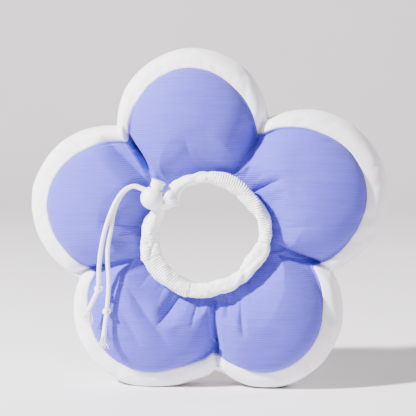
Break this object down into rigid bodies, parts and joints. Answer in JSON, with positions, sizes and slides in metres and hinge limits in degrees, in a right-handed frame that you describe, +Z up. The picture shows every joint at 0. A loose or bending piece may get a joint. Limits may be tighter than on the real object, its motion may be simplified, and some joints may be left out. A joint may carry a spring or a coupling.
{
  "type": "flower-shaped pet recovery collar",
  "caption": "Soft stuffed five-petal recovery collar for a cat or small dog, with a rib-knit neck cuff, drawstring and sprung cord lock.",
  "frame": {"origin": "on the ground, under the middle of the collar's box", "axes": "+Z up as the collar stands on its two lower petals, -Y out of the coloured face, +X to the viewer's right when looking at the face"},
  "size_m": [0.2824, 0.0815, 0.2676],
  "materials": {
    "face_cloth": "woven periwinkle cloth with a fine cross rib",
    "white_cloth": "smooth white woven cloth",
    "fibre_filling": "loose polyester fibre",
    "rib_knit": "white rib knit",
    "cord_cotton": "white braided cord",
    "lock_plastic": "satin white moulded plastic",
    "spring_steel": "drawn wire"
  },
  "bodies": {
    "collar": {"back_panel": "white_cloth", "drawstring_loop": "cord_cotton", "drawstring_tail_left": "cord_cotton", "drawstring_tail_right": "cord_cotton", "filling_lower_left": "fibre_filling", "filling_lower_right": "fibre_filling", "filling_top": "fibre_filling", "filling_upper_left": "fibre_filling", "filling_upper_right": "fibre_filling", "front_panel": "face_cloth", "knot_left": "cord_cotton", "knot_right": "cord_cotton", "neck_cuff": "rib_knit", "neck_lining": "rib_knit", "side_band_lower_left": "white_cloth", "side_band_lower_right": "white_cloth", "side_band_top": "white_cloth", "side_band_upper_left": "white_cloth", "side_band_upper_right": "white_cloth", "tassel_left": "cord_cotton", "tassel_right": "cord_cotton"},
    "cord_lock": {"lock_body": "lock_plastic", "lock_spring": "spring_steel"},
    "lock_button": {"lock_plunger": "lock_plastic"}
  },
  "joints": [
    {"name": "lock_slide", "type": "slide", "parent": "collar", "child": "cord_lock", "axis": [-0.9272, 0, 0.3746], "range_m": [0, 0.005]},
    {"name": "button_press", "type": "slide", "parent": "cord_lock", "child": "lock_button", "axis": [0.3746, 0, 0.9272], "range_m": [-0.003, 0], "stiffness_N_per_m": 600, "springref_m": 0.003, "deforming": ["lock_spring"]}
  ]
}
